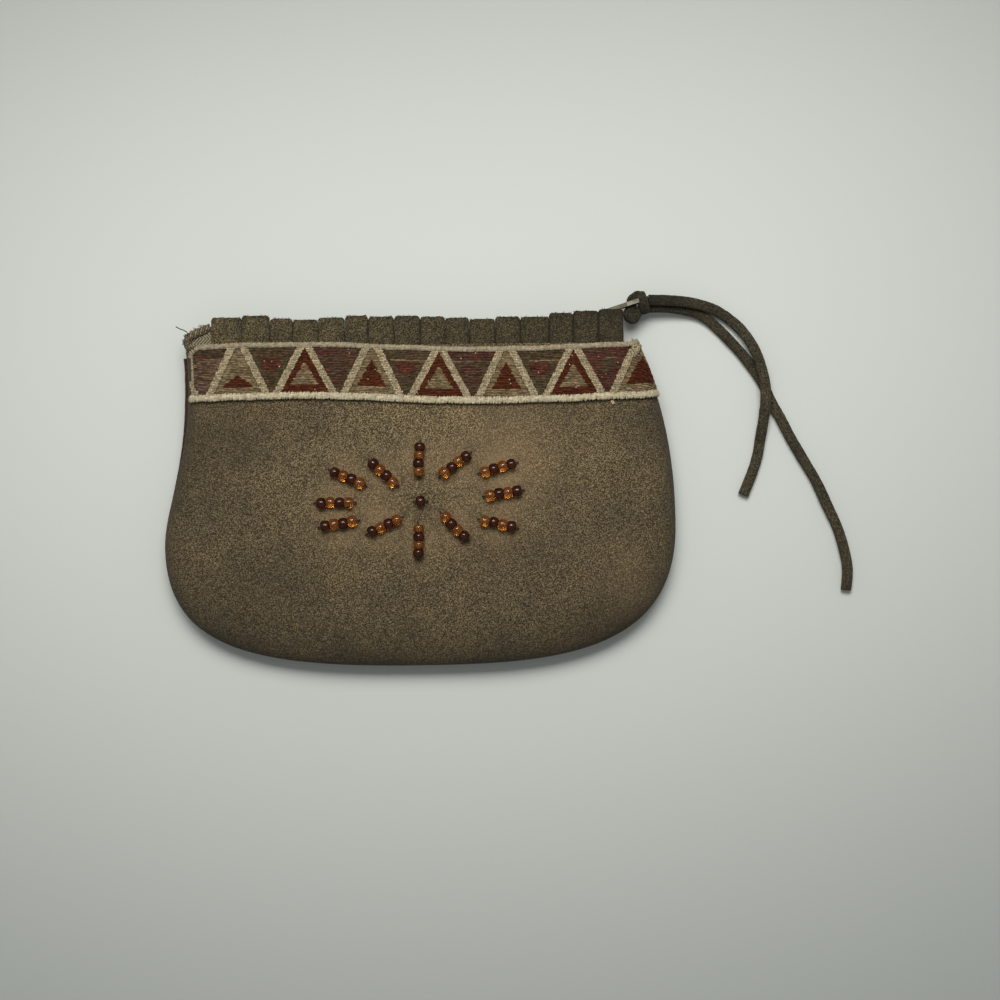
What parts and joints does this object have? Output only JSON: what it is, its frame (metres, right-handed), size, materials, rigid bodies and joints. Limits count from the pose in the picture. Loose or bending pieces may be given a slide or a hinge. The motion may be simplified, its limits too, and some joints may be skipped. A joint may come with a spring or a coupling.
{
  "type": "leather coin purse",
  "caption": "Small zipped suede coin purse with a cut fringe hiding the zipper, a woven trim, a beaded starburst and a suede thong knotted to the zipper's pull.",
  "frame": {"origin": "middle of the flat back, on the surface that the purse lies on", "axes": "+X along the zipper to its closed end, +Y from the rounded bottom to the mouth, +Z out of the front"},
  "size_m": [0.1754, 0.0949, 0.0161],
  "materials": {
    "panel_suede": "napped suede, worn dark at the edges",
    "fringe_suede": "napped suede, darker",
    "thong_suede": "napped suede lace",
    "woven_trim": "jacquard weave with corded borders",
    "zipper_tape": "herringbone twill",
    "zipper_metal": "dull pewter plate",
    "amber_beads": "glossy seed bead glass",
    "dark_bead": "glossy dark seed bead glass"
  },
  "bodies": {
    "purse": {"front_panel": "panel_suede", "back_panel": "panel_suede", "fringe_strip": "fringe_suede", "woven_trim": "woven_trim", "zipper_tape_front": "zipper_tape", "zipper_tape_back": "zipper_tape", "zipper_bottom_stop": "zipper_metal", "zipper_top_stop_front": "zipper_metal", "zipper_top_stop_back": "zipper_metal", "bead_row_01": "amber_beads", "bead_row_02": "amber_beads", "bead_row_03": "amber_beads", "bead_row_04": "amber_beads", "bead_row_05": "amber_beads", "bead_row_06": "amber_beads", "bead_row_07": "amber_beads", "bead_row_08": "amber_beads", "bead_row_09": "amber_beads", "bead_row_10": "amber_beads", "bead_row_11": "amber_beads", "bead_row_12": "amber_beads", "centre_bead": "dark_bead"},
    "slider": {"zipper_slider": "zipper_metal"},
    "pull": {"zipper_pull": "zipper_metal", "thong_knot": "thong_suede", "thong_tail_short": "thong_suede", "thong_tail_long": "thong_suede"}
  },
  "joints": [
    {"name": "slider_travel", "type": "slide", "parent": "purse", "child": "slider", "axis": [-1, 0, 0], "range_m": [0, 0.084], "deforming": ["zipper_tape_front", "zipper_tape_back"]},
    {"name": "pull_swing", "type": "hinge", "parent": "slider", "child": "pull", "pos_m": [0.0413, 0.04285, 0.0049], "axis": [0, 0, 1], "range_deg": [-6, 160]}
  ],
  "couplings": [
    {"joint": "pull_swing", "follows": "slider_travel", "rad_per_m": 32}
  ]
}
